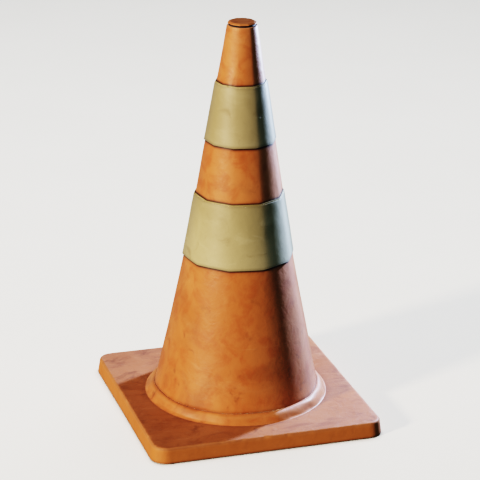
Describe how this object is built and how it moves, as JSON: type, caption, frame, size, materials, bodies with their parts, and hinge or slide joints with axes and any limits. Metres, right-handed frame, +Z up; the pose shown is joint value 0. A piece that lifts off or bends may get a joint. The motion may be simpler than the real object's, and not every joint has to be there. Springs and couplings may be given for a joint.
{
  "type": "traffic cone",
  "caption": "Weighted square-based traffic cone with a hollow ten-sided body, slip-on reflective collars and a pull-out tip cap.",
  "frame": {"origin": "on the ground at the centre of the square base", "axes": "+Z up the cone's axis; X and Y square to the base's edges"},
  "size_m": [0.443, 0.443, 0.747],
  "materials": {
    "body_plastic": "satin",
    "base_plastic": "matte",
    "cap_plastic": "satin",
    "sleeve_plastic": "satin",
    "reflective_film": "satin",
    "ballast_rubber": "matte",
    "pad_rubber": "matte",
    "zinc_steel": "satin"
  },
  "bodies": {
    "cone": {"cone_body": "body_plastic", "foot_ring": "body_plastic", "base_cover": "base_plastic", "ballast_slab": "ballast_rubber", "ring_screws": "zinc_steel", "base_screws": "zinc_steel", "base_washers": "zinc_steel", "foot_pads": "pad_rubber"},
    "lower_collar": {"lower_sleeve": "sleeve_plastic", "lower_film": "reflective_film"},
    "upper_collar": {"upper_sleeve": "sleeve_plastic", "upper_film": "reflective_film"},
    "cap": {"tip_cap": "cap_plastic", "cap_seal": "pad_rubber"}
  },
  "joints": [
    {"name": "cap_lift", "type": "slide", "parent": "cone", "child": "cap", "axis": [0, 0, 1], "range_m": [0, 0.32]},
    {"name": "upper_collar_lift", "type": "slide", "parent": "cone", "child": "upper_collar", "axis": [0, 0, 1], "range_m": [0, 0.37]},
    {"name": "lower_collar_lift", "type": "slide", "parent": "cone", "child": "lower_collar", "axis": [0, 0, 1], "range_m": [0, 0.46]}
  ]
}
